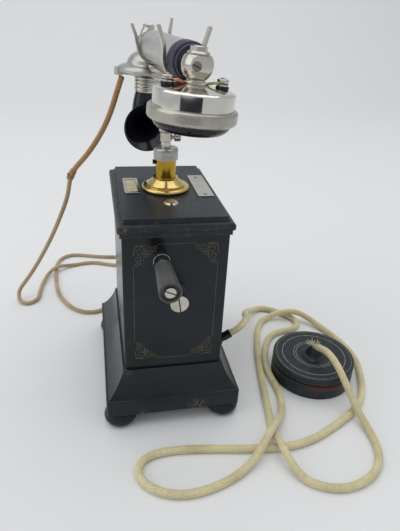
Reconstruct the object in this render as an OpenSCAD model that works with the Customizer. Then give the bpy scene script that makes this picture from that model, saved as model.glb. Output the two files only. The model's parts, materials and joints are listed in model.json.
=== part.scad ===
// Antique desk telephone with a magneto: a tall enamelled tower on a flared skirt, a sprung
// cradle on a brass column, a handset with a curved horn, and a round wall rosette on its line cord.
// Millimetres. The floor is z = 0, the tower stands on the origin, and the crank faces -Y.

/* [Tower] */
// Width of the tower body
tower_w = 92; // [88:1:96]
// Depth of the tower body
tower_d = 147.6; // [144:0.2:152]
// Thickness of the tower's walls
wall = 7; // [5:0.5:8]
// Height of the bun feet
foot_h = 16; // [14:0.5:18]
// Largest radius of a bun foot
foot_r = 15.8; // [14:0.2:17]
// Radius of the screw hole up each foot
foot_hole_r = 2.25; // [1.5:0.05:3]
// Width of the plinth
plinth_w = 130; // [128:1:134]
// Depth of the plinth
plinth_d = 177.6; // [175:0.2:182]
// Height of the plinth's upright band
plinth_h = 17.5; // [16:0.5:19]
// Height of the skirt's hollow flare
flare_h = 27; // [26:0.5:29]
// How far the flare hollows in from a straight slope
flare_sag = 1.6; // [0.5:0.1:2.5]
// Height of the tower body above the skirt
tower_h = 136.5; // [134:0.5:140]
// Height of the moulded lid
lid_h = 15.5; // [15:0.5:17]
// How far the lid's bead stands out from the body
lid_bead = 3.8; // [3:0.1:5]

/* [Column and cradle] */
// Radius of the brass column tube
column_r = 9.5; // [9:0.1:10]
// Top of the nickel collar above the lid
collar_rise = 39.5; // [38:0.5:41]
// Radius of the sliding plunger
plunger_r = 4.5; // [4:0.1:5]
// Gap all round a running shaft
running_fit = 0.05; // [0.02:0.01:0.08]
// Height of the handle's axis when the handset rests
handle_z = 331.5; // [330:0.5:334]
// Turn of the cradle and handset about the column
cradle_turn = 4.3; // [0:0.1:8]
// Distance from the column to the front fork
front_fork_reach = 55; // [53:0.5:55]
// Distance from the column to the rear fork
rear_fork_reach = 59.5; // [58:0.5:59.5]
// Half spread of the prongs at their tips
prong_spread = 18.9; // [18:0.1:20]
// Height of the prong tips above the handle's axis
prong_rise = 21; // [20:0.1:22]
// Lean of the rear fork, which is bent
rear_fork_lean = 6; // [0:0.5:8]

/* [Handset] */
// Radius of the handle
handle_r = 13.3; // [13:0.1:13.5]
// Distance from the column to the receiver's axis
receiver_reach = 93; // [92.5:0.5:95]
// Distance from the column to the transmitter's axis
transmitter_reach = 91; // [90.5:0.5:93]
// Radius of the ball at each end of the handle
knuckle_r = 11.2; // [10.8:0.1:11.5]
// Roll of the handset in the forks
handset_roll = 4; // [0:0.5:6]
// Radius of the receiver's threaded ring
receiver_r = 32; // [31:0.2:32]
// Radius of the transmitter's flange
transmitter_r = 28.5; // [27.5:0.5:28.5]
// Radius of the horn's mouth
horn_r = 23.6; // [22:0.2:24]

/* [Crank and magneto] */
// Height of the crank shaft
crank_z = 144.5; // [143:0.5:146]
// Length of the crank arm between its centres
crank_arm_l = 42.7; // [40:0.1:44]
// Angle of the arm from upright
crank_lean = 20.9; // [0:0.1:45]
// Radius of the crank shaft
shaft_r = 4; // [3.5:0.1:4.5]
// Gear module
gear_module = 1.1; // [1.1:0.1:1.1]
// Teeth on the drive gear
gear_teeth = 56; // [56:1:56]
// Teeth on the armature pinion
pinion_teeth = 14; // [14:1:14]

/* [Rosette and cords] */
// Radius of the wall rosette
rosette_r = 45; // [44:0.5:46]
// Height of the rosette's rim
rosette_h = 26; // [25:0.5:26]
// Diameter of the line cord
line_cord_d = 7.4; // [6.6:0.1:7.4]
// Diameter of the handset cord
handset_cord_d = 5.2; // [4.6:0.1:5.2]

/* [Hidden] */
$fn = 96;
eps = 0.01;

black_enamel = "#1b1c20";
nickel = "#b9b6ad";
satin_nickel = "#a5a39d";
brass = "#b8923a";
ebonite = "#121215";
steel = "#83868a";
copper = "#a8643a";

// Heights of the case, worked out from the floor up
plinth_top = foot_h + plinth_h;
flare_top = plinth_top + flare_h;
tower_top = flare_top + tower_h;
lid_top = tower_top + lid_h;
collar_top = lid_top + collar_rise;
collar_h = 10.5;
plate_t = 4;
deck_t = 6.5;
front_fork_w = 6;
rear_fork_w = 5;
foot_inset = 13.3;
foot_x = plinth_w / 2 - foot_inset;
foot_y = plinth_d / 2 - foot_inset;
tower_front = -tower_d / 2;
inner_w = tower_w - 2 * wall;
inner_d = tower_d - 2 * wall;

// Places along Y of what the crank turns
gear_y = -60;
gear_t = 5;
front_plate_y = -52;
rear_plate_y = -12;
end_plate_t = 3;
arm_front = -94;
grip_root = -104.3;
grip_end = -142.6;
gear_pitch_r = gear_module * gear_teeth / 2;
pinion_pitch_r = gear_module * pinion_teeth / 2;
armature_z = crank_z - gear_pitch_r - pinion_pitch_r;
rotor_r = 12;
armature_shaft_r = 2.5;
thumb_screw_z = 261;
thumb_screw_r = 1.8;
pin_x = -crank_arm_l * sin(crank_lean);
pin_z = crank_z + crank_arm_l * cos(crank_lean);

// The handset's inner core, and the heights and lengths that its pieces share
core_r = 6;
sleeve_back = 55;
collar_back = 64;
front_flat = 6.5;
rear_flat = 5.5;
drum_top = -12;
drum_r = 28.7;

// The hook switch hangs behind the plunger
plunger_foot_z = 168;
spring_seat_z = 150;
lever_y = 30;
lever_z = 163;
lever_pin_r = 1.5;

// The ringer lies in the skirt
gong_x = 24.4;
gong_y = 40;
gong_r = 21;
clapper_y = -8.5;
clapper_z = 34;

// Where the cords leave the case: the mouth of each gland, and the direction it points
gland_tilt = 30;
line_exit = [71, -22, 54];
handset_exit = [-35, 93, 51];
rosette_at = [166.5, -37];

// Route of the line cord from its gland, along the floor and over the rosette's rim into its lid
line_route = [
    [71, -22, 54], [80, -21, 59], [91, -9, 60], [105, 34, 39], [134, 86, 8], [153, 92, 3.8], [185, 61, 3.7],
    [178, 44, 3.7], [159, 39, 3.7], [138, 27, 3.7], [118.6, -18, 3.7], [116.8, -44, 3.7], [117.2, -70, 4],
    [107, -102, 8.5], [93, -120, 14.4], [79, -136, 13.5], [51.9, -158, 5], [-10.4, -171.8, 3.7],
    [-40.2, -147.5, 3.7], [-25.4, -128, 3.7], [94, -138, 3.7], [151, -124, 3.7], [197, -95, 3.7],
    [219.5, -56, 3.7], [228, -10, 3.8], [208, 48, 6], [183, 67, 13], [146, 68, 3.8], [122, 26, 3.7],
    [109, -25, 3.7], [95, -105, 3.7], [92, -122, 4.7], [92, -139, 11.9], [103, -174, 4.2], [140, -189, 3.7],
    [177, -171, 3.9], [188, -142, 4], [185, -110, 12.4], [173, -66, 43], [166.5, -36.5, 36],
];

// Route of the handset cord from its gland, along the floor behind the tower and up to the transmitter
handset_route = [
    [-35, 93, 51], [-35, 101.5, 55.9], [-37, 113, 53], [-42, 124, 34], [-52, 125, 11], [-68, 117, 2.8],
    [-86, 116, 2.6], [-104, 129, 2.6], [-118, 153, 2.6], [-126, 182, 2.6], [-130, 226, 2.6],
    [-127, 266, 2.6], [-109, 283, 2.6], [-74, 276, 2.6], [-40, 270, 2.6], [-21, 266, 2.6],
    [-14, 255, 2.6], [-23, 244.5, 2.6], [-44, 243, 2.6], [-74, 254, 2.6], [-102, 250, 2.8],
    [-120, 242, 6], [-130, 233, 8.6], [-140, 219, 6], [-148, 186, 2.8], [-149, 168, 2.6],
    [-152, 154, 2.6], [-162, 147, 2.6], [-172, 152, 4], [-174, 163, 12], [-161, 162, 32], [-127, 145, 92],
    [-108, 134, 134], [-97, 127, 165], [-91, 124, 188], [-74, 113, 212], [-50, 100, 252], [-39, 93, 282],
    [-33.2, 89.3, 299.5],
];

// ---- helpers ----

// A rectangle with rounded corners, from true arcs
module rounded_rect(w, d, r) {
    square([w - 2 * r, d], center = true);
    square([w, d - 2 * r], center = true);
    for (x = [-1, 1], y = [-1, 1])
        translate([x * (w / 2 - r), y * (d / 2 - r)]) circle(r);
}

module rounded_block(w, d, h, r) {
    linear_extrude(h) rounded_rect(w, d, r);
}

// A cylinder along Y from y0 to y1
module rod_y(r, y0, y1) {
    translate([0, y0, 0]) rotate([-90, 0, 0]) cylinder(r = r, h = y1 - y0);
}

// A ring along Y
module ring_y(r, bore, y0, y1) {
    difference() {
        rod_y(r, y0, y1);
        rod_y(bore, y0 - 1, y1 + 1);
    }
}

// A child moved to the crank's own frame: y along the shaft, z towards the arm
module on_crank() {
    translate([0, 0, crank_z]) rotate([0, -crank_lean, 0]) children();
}

// The handset's own frame: y along the handle, z up, at the handle's middle
module on_handset() {
    translate([0, 0, handle_z]) rotate([0, 0, cradle_turn]) rotate([0, handset_roll, 0]) children();
}

module on_cradle() {
    rotate([0, 0, cradle_turn]) children();
}

// Outline across the skirt: an upright band with a rounded edge, a hollow flare and a small ledge
module skirt_outline(foot_half, body_half) {
    edge = 2;
    low = [foot_half - edge, plinth_top];
    high = [body_half + 2.5, flare_top - 2];
    chord = high - low;
    span = norm(chord);
    out = [chord[1], -chord[0]] / span;
    hollow_r = (span * span / 4 + flare_sag * flare_sag) / (2 * flare_sag);
    centre = (low + high) / 2 + out * (hollow_r - flare_sag);
    difference() {
        union() {
            translate([-foot_half, foot_h]) square([2 * foot_half, plinth_h - edge]);
            translate([-low[0], foot_h]) square([2 * low[0], plinth_h]);
            for (side = [-1, 1]) translate([side * low[0], plinth_top - edge]) circle(edge);
            polygon([[-low[0], plinth_top - 1], [low[0], plinth_top - 1], low, high, [high[0], flare_top],
                     [-high[0], flare_top], [-high[0], high[1]], [-low[0], low[1]]]);
        }
        intersection() {
            for (side = [-1, 1]) translate([side * centre[0], centre[1]]) circle(hollow_r, $fn = 200);
            translate([-foot_half, plinth_top]) square([2 * foot_half, flare_h]);
        }
    }
}

// Outline across the lid: a fillet, a round bead, a step and the flat top
module lid_outline(body_half) {
    bead_r = 4;
    bead_z = tower_top + 7.5;
    bead_half = body_half + lid_bead - bead_r;
    translate([-body_half - 1.5, tower_top]) square([2 * body_half + 3, 5]);
    translate([-bead_half, bead_z - bead_r]) square([2 * bead_half, 2 * bead_r]);
    for (side = [-1, 1]) translate([side * bead_half, bead_z]) circle(bead_r);
    translate([-body_half + 1.2, bead_z]) square([2 * body_half - 2.4, 5.5]);
    translate([-body_half + 2.4, bead_z]) square([2 * body_half - 4.8, lid_top - bead_z]);
}

// A solid whose outline is mitred on all four sides
module mitred(w, d, corner_r, z0, h) {
    intersection() {
        rotate([90, 0, 0]) linear_extrude(d + 20, center = true) children(0);
        rotate([90, 0, 90]) linear_extrude(w + 20, center = true) children(1);
        translate([0, 0, z0]) rounded_block(w, d, h, corner_r);
    }
}

// Involute tooth form: the point reached when the string is unwound by t degrees
function involute(base_r, t) =
    [base_r * (cos(t) + t * PI / 180 * sin(t)), base_r * (sin(t) - t * PI / 180 * cos(t))];
function unwind_at(base_r, r) = sqrt(max(0, r * r / (base_r * base_r) - 1)) * 180 / PI;
function turned(p, a) = [p[0] * cos(a) - p[1] * sin(a), p[0] * sin(a) + p[1] * cos(a)];

// One tooth about +X. Backlash is taken off both flanks, and the tip is cut short to clear a small pinion.
function tooth(teeth, m, backlash) =
    let (pitch = m * teeth / 2, base_r = pitch * cos(20), tip_r = pitch + 0.8 * m, root_r = pitch - 1.1 * m)
    let (t_pitch = unwind_at(base_r, pitch), p_pitch = involute(base_r, t_pitch))
    let (half = 90 / teeth - backlash / pitch * 90 / PI + atan2(p_pitch[1], p_pitch[0]))
    let (t_tip = unwind_at(base_r, tip_r), start = max(base_r, root_r))
    let (t_start = unwind_at(base_r, start))
    let (flank = [for (k = [0:4]) turned(involute(base_r, t_start + (t_tip - t_start) * k / 4), -half)])
    let (root = turned([root_r - 0.3, 0], -half))
    concat([root], flank, [for (k = [4:-1:0]) [flank[k][0], -flank[k][1]]], [[root[0], -root[1]]]);

module gear_outline(teeth, m, backlash, first) {
    circle(m * teeth / 2 - 1.1 * m);
    for (k = [0:teeth - 1]) rotate(first + k * 360 / teeth) polygon(tooth(teeth, m, backlash));
}

// A tube swept through a route's points, with a ring square to the path at each and no twist between them
function unit(v) = v / norm(v);
function heading(route, k) =
    k == 0 ? unit(route[1] - route[0])
    : k == len(route) - 1 ? unit(route[k] - route[k - 1])
    : unit(unit(route[k] - route[k - 1]) + unit(route[k + 1] - route[k]));
function squared(a, h) = unit(a - (a * h) * h);
function side_of(route, k) =
    squared(k == 0 ? [0, 0, 1] : side_of(route, k - 1), heading(route, k));
function ring_points(at, h, a, r, sides) =
    let (b = cross(h, a))
    [for (i = [0:sides - 1]) at + r * (cos(360 * i / sides) * a + sin(360 * i / sides) * b)];

module cord_tube(route, d, sides) {
    rings = len(route);
    points = [for (k = [0:rings - 1])
        each ring_points(route[k], heading(route, k), side_of(route, k), d / 2, sides)];
    walls = [for (k = [0:rings - 2], i = [0:sides - 1])
        let (j = (i + 1) % sides) [k * sides + i, (k + 1) * sides + i, (k + 1) * sides + j, k * sides + j]];
    first_cap = [for (i = [0:sides - 1]) i];
    last_cap = [for (i = [sides - 1:-1:0]) (rings - 1) * sides + i];
    polyhedron(points, concat(walls, [first_cap, last_cap]), convexity = 10);
}

// A slotted screw head lying on z = 0
module slotted_head(r, h, slot_w) {
    difference() {
        cylinder(r = r, h = h);
        translate([-r - 1, -slot_w / 2, h - 0.8]) cube([2 * r + 2, slot_w, 1]);
    }
}

// ---- case ----

module base_plate() {
    color(black_enamel) difference() {
        translate([0, 0, foot_h]) rounded_block(plinth_w - 10, plinth_d - 10, plate_t, 3);
        for (x = [-gong_x, gong_x], k = [-1, 0, 1])
            translate([x - 12, gong_y + 9 * k - 1.5, foot_h - 1]) cube([24, 3, plate_t + 2]);
    }
}

module base_plinth() {
    low_room = foot_h + plate_t + 18;
    color(black_enamel) difference() {
        mitred(plinth_w, plinth_d, 3, foot_h, plinth_h + flare_h) {
            skirt_outline(plinth_w / 2, tower_w / 2);
            skirt_outline(plinth_d / 2, tower_d / 2);
        }
        translate([0, 0, foot_h - 1]) rounded_block(plinth_w - 10, plinth_d - 10, plate_t + 1, 3);
        translate([0, 0, foot_h]) rounded_block(plinth_w - 26, plinth_d - 26, low_room - foot_h, 3);
        translate([0, 0, foot_h])
            rounded_block(plinth_w - 44, plinth_d - 44, flare_top - deck_t - foot_h, 3);
    }
}

module feet() {
    bulge = foot_h / 2;
    color(black_enamel) for (x = [-foot_x, foot_x], y = [-foot_y, foot_y]) translate([x, y, 0])
        difference() {
            rotate_extrude() intersection() {
                union() {
                    square([foot_r - bulge, foot_h]);
                    translate([foot_r - bulge, bulge]) circle(bulge);
                }
                square([foot_r, foot_h]);
            }
            translate([0, 0, -1]) cylinder(r = foot_hole_r, h = foot_h + 2);
        }
}

module case_body() {
    color(black_enamel) difference() {
        translate([0, 0, flare_top]) rounded_block(tower_w, tower_d, tower_h, 1.5);
        translate([0, 0, flare_top - 1]) rounded_block(inner_w, inner_d, tower_h + 2, 1);
        translate([0, 0, crank_z]) rod_y(7.5, tower_front - 1, tower_front + wall + 1);
    }
}

module top_lid() {
    color(black_enamel) difference() {
        union() {
            mitred(tower_w + 2 * lid_bead, tower_d + 2 * lid_bead, 2, tower_top, lid_h) {
                lid_outline(tower_w / 2);
                lid_outline(tower_d / 2);
            }
            translate([0, 0, tower_top - 4]) rounded_block(inner_w - 0.6, inner_d - 0.6, 5, 1);
        }
        translate([0, 0, tower_top - 5]) cylinder(r = column_r, h = lid_h + 6);
        translate([0, -37, lid_top - 6]) cylinder(r = 1.6, h = 7);
    }
}

// The lid's screw with its nickel rose, and the pins of the name plate
module lid_screws() {
    color(nickel) {
        translate([0, -37, lid_top]) difference() {
            cylinder(r1 = 6.6, r2 = 5.4, h = 1.2);
            translate([0, 0, -1]) cylinder(r = 1.6, h = 3);
        }
        translate([0, -37, lid_top - 5]) cylinder(r = 1.6, h = 6.6);
        for (y = [-19, 29]) translate([34.5, y, lid_top + 1.2]) cylinder(r = 1.7, h = 0.8);
    }
}

module label_frame() {
    color(nickel) translate([-31.7, 6.3, lid_top]) difference() {
        rounded_block(14.4, 41.5, 2, 3);
        translate([0, 0, 0.6]) rounded_block(9.6, 35, 2, 1);
    }
}

module label_card() {
    color("#cfc7a2") translate([-31.7, 6.3, lid_top + 0.6]) rounded_block(9.4, 34.8, 0.5, 1);
}

module name_plate() {
    color(nickel) translate([34.5, 5, lid_top]) rounded_block(15, 60, 1.2, 0.6);
}

module column_flange() {
    color(brass) translate([0, 0, lid_top]) rotate_extrude() difference() {
        union() {
            square([20.5, 4.5]);
            translate([20.2, 2.25]) circle(2.25);
            polygon([[0, 4], [18, 4], [18, 6], [16.8, 6.3], [11.6, 10.8], [11.6, 12], [0, 12]]);
        }
        translate([-5, -1]) square([5 + column_r, 20]);
    }
}

module column_tube() {
    low = tower_top - 8;
    high = collar_top - collar_h;
    color(brass) difference() {
        translate([0, 0, low]) cylinder(r = column_r, h = high - low);
        translate([0, 0, low - 1]) cylinder(r = column_r - 2.5, h = high - low + 2);
    }
}

// The collar that guides the plunger
module column_collar() {
    low = collar_top - collar_h;
    color(nickel) rotate_extrude() difference() {
        union() {
            translate([0, low]) square([11.2, collar_h - 2.5]);
            translate([0, low]) square([9.6, collar_h]);
            translate([9.4, collar_top - 1.8]) circle(1.8);
        }
        translate([-5, low - 1]) square([5 + plunger_r + running_fit, collar_h + 2]);
    }
}

// The black screw that locks the column just below its collar
module set_screw() {
    color(ebonite) translate([0.3 - column_r, 0, collar_top - collar_h - 3]) rotate([0, -90, 0])
        slotted_head(2.1, 2.9, 0.7);
}

// A cord gland standing square to the flare: a boss and a ribbed barrel. Its mouth's middle is the origin.
module gland(barrel_r, length) {
    color(ebonite) rotate([0, 180, 0]) {
        cylinder(r = barrel_r - 0.4, h = length);
        for (k = [0:2]) translate([0, 0, 0.8 + 3 * k]) cylinder(r = barrel_r, h = 1.9);
        translate([0, 0, length - 7]) cylinder(r1 = barrel_r + 1, r2 = barrel_r + 3.4, h = 5);
        translate([0, 0, length - 2]) cylinder(r = barrel_r + 3.4, h = 2);
    }
}

module line_cord_gland() {
    difference() {
        translate(line_exit) rotate([0, 90 - gland_tilt, 0]) gland(4.9, 20);
        color(ebonite) mitred(plinth_w, plinth_d, 3, foot_h, plinth_h + flare_h) {
            skirt_outline(plinth_w / 2, tower_w / 2);
            skirt_outline(plinth_d / 2, tower_d / 2);
        }
    }
}

module handset_cord_gland() {
    difference() {
        translate(handset_exit) rotate([0, 0, 90]) rotate([0, 90 - gland_tilt, 0])
            gland(4, 13);
        color(ebonite) mitred(plinth_w, plinth_d, 3, foot_h, plinth_h + flare_h) {
            skirt_outline(plinth_w / 2, tower_w / 2);
            skirt_outline(plinth_d / 2, tower_d / 2);
        }
    }
}

// ---- works inside the tower ----

module crank_bushing() {
    color(ebonite) translate([0, 0, crank_z]) difference() {
        union() {
            rod_y(7.5, tower_front, -62);
            rod_y(9.5, tower_front - 2, tower_front);
        }
        rod_y(shaft_r + running_fit, tower_front - 3, -61);
    }
}

// Two end plates stand on the skirt's deck and carry the shafts
module magneto_plates() {
    half_w = 30;
    color(steel) for (y = [front_plate_y, rear_plate_y]) difference() {
        union() {
            translate([-half_w, y, flare_top]) cube([2 * half_w, end_plate_t, 182 - flare_top]);
            translate([-half_w, y - 7, flare_top]) cube([2 * half_w, 8, 3]);
        }
        translate([0, 0, crank_z]) rod_y(shaft_r + running_fit, y - 1, y + end_plate_t + 1);
        translate([0, 0, armature_z]) rod_y(armature_shaft_r + running_fit, y - 1, y + end_plate_t + 1);
    }
}

// Three horseshoe magnets straddle the armature and the shaft
module magnets() {
    inner = 19;
    arch_z = crank_z + 6;
    color("#3c2f2b") for (k = [0:2]) translate([0, -46 + 11 * k, 0]) {
        for (side = [-1, 1]) translate([side * (inner + 4) - 4, 0, 92]) cube([8, 10, arch_z - 92]);
        translate([0, 0, arch_z]) rotate([-90, 0, 0]) difference() {
            cylinder(r = inner + 8, h = 10);
            translate([0, 0, -1]) cylinder(r = inner, h = 12);
            translate([-inner - 9, 0, -1]) cube([2 * inner + 18, inner + 10, 12]);
        }
    }
}

module pole_pieces() {
    color(steel) difference() {
        translate([-19, -46, 94]) cube([38, 32, 24]);
        translate([0, 0, armature_z]) rod_y(rotor_r + 0.6, -47, -13);
        translate([-7, -47, 90]) cube([14, 34, 32]);
    }
}

module bell_gongs() {
    high = foot_h + plate_t + 18;
    color(nickel) for (x = [-gong_x, gong_x]) translate([x, gong_y, 0]) rotate_extrude()
        polygon([[2.6, high - 2], [2.6, high], [11, high], [18, high - 3], [gong_r, high - 12],
                 [gong_r, high - 14], [gong_r - 1.8, high - 14], [gong_r - 1.8, high - 12],
                 [17, high - 4.6], [10.6, high - 2]]);
}

// Steel frame of the ringer: a base strap, the yoke behind the coils, the clapper's pivot and two gong posts
module ringer_frame() {
    low = foot_h + plate_t;
    color(steel) {
        translate([-6, -42, low]) cube([12, 46, 2]);
        translate([-4, 3.9, low]) cube([8, 40, 2]);
        translate([-32, gong_y - 4, low]) cube([64, 8, 2]);
        translate([-24, -42, low]) cube([48, 4, 24]);
        translate([0, clapper_y, low]) cylinder(r = 3, h = 9);
        translate([0, clapper_y, low]) cylinder(r = 1.2, h = 21);
        for (x = [-gong_x, gong_x]) translate([x, gong_y, low]) {
            cylinder(r = 2.6, h = 18.6);
            translate([0, 0, 18]) cylinder(r = 4.5, h = 2.4, $fn = 6);
        }
    }
}

module ringer_coils() {
    for (x = [-13, 13]) translate([x, 0, clapper_z]) {
        color("#5a3a24") rod_y(8.6, -35.5, -14.5);
        color(ebonite) for (y = [-38, -14.5]) rod_y(9.6, y, y + 2.5);
    }
}

// The rocking armature and its rod, which carries the ball between the gongs
module clapper() {
    color(steel) difference() {
        union() {
            translate([-19, clapper_y - 2.2, clapper_z - 3.5]) cube([38, 4.4, 7]);
            translate([0, 0, clapper_z - 3]) rod_y(0.9, clapper_y + 1, gong_y - 2);
            translate([0, gong_y - 2, clapper_z - 3]) sphere(2.5, $fn = 48);
        }
        translate([0, clapper_y, clapper_z - 10]) cylinder(r = 1.2 + running_fit, h = 20);
    }
}

// Bracket under the lid with the spring's seat, the lever's pin and the contact springs
module hook_switch() {
    plate_y = 36;
    color(brass) {
        difference() {
            translate([-14, plate_y, 120]) cube([28, 2.5, tower_top - 4 - 120]);
            translate([0, 0, 130]) rod_y(2, plate_y - 1, plate_y + 4);
        }
        translate([-9, -7, spring_seat_z - 3]) cube([18, plate_y + 7.1, 3]);
        for (x = [-7, 5]) translate([x, 27, lever_z - 4]) cube([2, plate_y - 26.9, 8]);
        translate([-7, lever_y, lever_z]) rotate([0, 90, 0]) cylinder(r = lever_pin_r, h = 14);
    }
    color(ebonite) translate([-6, 18.8, spring_seat_z - 0.05]) cube([12, 6, 3]);
    color(nickel) for (k = [0:2]) translate([-4, 19.4 + 2 * k, spring_seat_z + 2.9]) cube([8, 0.5, 8.5]);
}

module hook_lever() {
    color(steel) difference() {
        union() {
            translate([-3.5, 0, 0]) {
                translate([0, lever_y, lever_z]) rotate([0, 90, 0]) cylinder(r = 4, h = 7);
                translate([0, 6.5, lever_z + 1.7]) cube([7, lever_y - 6.5, 2.8]);
                translate([0, lever_y - 1.5, lever_z - 11]) cube([7, 3, 10]);
            }
        }
        translate([-5, lever_y, lever_z]) rotate([0, 90, 0]) cylinder(r = lever_pin_r + running_fit, h = 10);
    }
}

module induction_coil() {
    back = inner_d / 2;
    color("#6b4a2c") for (x = [-28, 25]) translate([x, back - 24, 88]) cube([3, 24, 24]);
    color("#4b3326") translate([-25, back - 12, 100]) rotate([0, 90, 0]) cylinder(r = 9.5, h = 50);
}

module condenser() {
    color("#77716a") translate([-18, inner_d / 2 - 18, 132]) cube([36, 18, 50]);
}

module terminal_strip() {
    left = -inner_w / 2;
    color(ebonite) translate([left, 8, 76]) cube([6, 52, 14]);
    color(brass) for (k = [0:4]) translate([left + 6, 14 + 10 * k, 83]) rotate([0, 90, 0])
        slotted_head(3, 2, 0.9);
}

// ---- crank ----

module crank_shaft() {
    color(nickel) translate([0, 0, crank_z]) {
        rod_y(shaft_r, arm_front, rear_plate_y + end_plate_t + 1);
        ring_y(6.5, shaft_r, arm_front + 4, tower_front - 2.3);
    }
}

module drive_gear() {
    color(brass) translate([0, gear_y + gear_t, crank_z]) rotate([90, 0, 0]) difference() {
        linear_extrude(gear_t) gear_outline(gear_teeth, gear_module, 0.35, 90);
        translate([0, 0, -1]) cylinder(r = shaft_r, h = gear_t + 2);
        for (k = [0:4]) rotate(k * 72 + 36) translate([17, 0, -1]) cylinder(r = 6, h = gear_t + 2);
    }
}

// The arm, with the riveted pin that the grip turns on
module crank_arm() {
    color(nickel) on_crank() {
        difference() {
            translate([0, arm_front, 0]) rotate([-90, 0, 0]) linear_extrude(4) union() {
                circle(7.4);
                translate([0, -crank_arm_l]) circle(7);
                translate([-5.2, -crank_arm_l]) square([10.4, crank_arm_l]);
            }
            rod_y(shaft_r, arm_front - 1, arm_front + 5);
        }
        translate([0, 0, crank_arm_l]) {
            rod_y(6.8, grip_root + 0.3, arm_front + 0.5);
            rod_y(3, -139.9, arm_front);
        }
    }
}

module crank_screws() {
    color(nickel) on_crank() {
        translate([0, arm_front, 0]) rotate([90, 102, 0]) slotted_head(7.85, 2.6, 1.1);
        translate([0, -139.9, crank_arm_l]) rotate([90, 46, 0]) slotted_head(4.2, 2.2, 1);
    }
}

// A hard rubber tube with a sunk end
module crank_grip() {
    length = grip_root - grip_end;
    color("#3a3a3d") translate([pin_x, grip_root, pin_z]) rotate([90, 0, 0]) rotate_extrude() difference() {
        polygon([[3 + running_fit, 0], [7, 0], [7.1, 1], [8.7, length - 1], [8.3, length],
                 [3 + running_fit, length]]);
        translate([0, length - 3]) square([7, 4]);
    }
}

module armature() {
    color(steel) translate([0, 0, armature_z]) {
        difference() {
            rod_y(rotor_r, -46, -14);
            for (side = [-1, 1]) translate([side * 9 - 4, -47, -5]) cube([8, 34, 10]);
        }
        rod_y(armature_shaft_r, gear_y, rear_plate_y + end_plate_t + 1);
    }
}

// The pinion's gap faces the gear's tooth
module pinion() {
    color(brass) translate([0, gear_y + gear_t, armature_z]) rotate([90, 0, 0]) difference() {
        linear_extrude(gear_t) gear_outline(pinion_teeth, gear_module, 0.35, 90 + 180 / pinion_teeth);
        translate([0, 0, -1]) cylinder(r = armature_shaft_r, h = gear_t + 2);
    }
}

// ---- plunger and cradle ----

module plunger_rod() {
    color(nickel) {
        translate([0, 0, plunger_foot_z]) cylinder(r = plunger_r, h = 268 - plunger_foot_z);
        translate([0, 0, plunger_foot_z]) cylinder(r = 8, h = 2.5);
    }
}

module plunger_spring() {
    turns = 5;
    steps = 14;
    wire = 1.2;
    coil_r = 5.4;
    low = spring_seat_z + wire / 2 + 0.1;
    rise = plunger_foot_z - spring_seat_z - wire - 0.2;
    coil = [for (k = [0:turns * steps]) [coil_r * cos(k * 360 / steps), coil_r * sin(k * 360 / steps),
                                         low + rise * k / (turns * steps)]];
    color(steel) cord_tube(coil, wire, 6);
}

module cradle_hub() {
    bar_top = handle_z - handle_r - 3;
    color(nickel) on_cradle() {
        difference() {
            rotate_extrude() polygon([[0, 257.5], [5, 257.5], [5.3, 258.2], [5.3, 265], [6.6, 267],
                                      [6.6, 269], [5.8, 271], [7.6, 279], [9.2, 287], [8.6, 294],
                                      [6, 302], [6.4, 305], [11, 309.5], [11, bar_top - 3.9], [0, bar_top - 3.9]]);
            translate([0, 0, 256]) cylinder(r = plunger_r, h = 12);
            rotate(-cradle_turn) translate([0, 0, thumb_screw_z]) rotate([0, 90, 0])
                cylinder(r = thumb_screw_r, h = 10);
        }
        translate([-4.5, -front_fork_reach - front_fork_w / 2, bar_top - 4])
            cube([9, front_fork_reach + rear_fork_reach + (front_fork_w + rear_fork_w) / 2, 4]);
    }
}

function arc(at, r, from, to, steps = 12) =
    [for (k = [0:steps]) at + r * [cos(from + (to - from) * k / steps), sin(from + (to - from) * k / steps)]];

// A strap bent round the handle, with two prongs that rise and then spread outwards. ease opens the prongs
// for a fork that leans, and shorter is taken off the left one.
module fork_strap(width, lean, ease = 0, shorter = 0) {
    thick = 2.6;
    mid = handle_r + 0.4 + thick / 2;
    prong = [[mid + ease, 5], [mid + ease + 0.3, 10], [prong_spread, prong_rise]];
    left_tip = prong[2] - shorter * unit(prong[2] - prong[1]);
    line = concat([[-left_tip[0], left_tip[1]]], [for (k = [1:-1:0]) [-prong[k][0], prong[k][1]]],
                  arc([0, 0], mid, 180, 360, 40), prong);
    last = len(line) - 1;
    outward = [for (k = [0:last])
        let (h = unit(line[min(k + 1, last)] - line[max(k - 1, 0)])) [h[1], -h[0]] * thick / 2];
    tip_turn = atan2(outward[last][1], outward[last][0]);
    outline = concat(
        [for (k = [1:last - 1]) line[k] + outward[k]], arc(line[last], thick / 2, tip_turn, tip_turn + 180),
        [for (k = [last - 1:-1:1]) line[k] - outward[k]], arc(line[0], thick / 2, -tip_turn, 180 - tip_turn));
    intersection() {
        rotate([90, 0, 0]) linear_extrude(width, center = true) rotate(lean) polygon(outline);
        rotate([90, 0, 90]) linear_extrude(4 * mid, center = true)
            polygon([[-width / 2, -2 * mid], [width / 2, -2 * mid], [width / 2, 0],
                     [width / 2 - 0.7, prong_rise + thick], [0.7 - width / 2, prong_rise + thick],
                     [-width / 2, 0]]);
    }
}

module front_fork() {
    color(nickel) on_cradle() translate([0, -front_fork_reach, handle_z]) fork_strap(front_fork_w, 0);
}

module rear_fork() {
    color(nickel) on_cradle() translate([0, rear_fork_reach, handle_z])
        fork_strap(rear_fork_w, rear_fork_lean, 0.7, 2.4);
}

module thumb_screw() {
    color(nickel) translate([0, 0, thumb_screw_z]) rotate([0, 90, 0]) {
        translate([0, 0, plunger_r + eps]) cylinder(r = thumb_screw_r, h = 4);
        translate([0, 0, 7.6]) cylinder(r = 3.9, h = 5.4);
    }
}

// ---- handset ----

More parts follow.
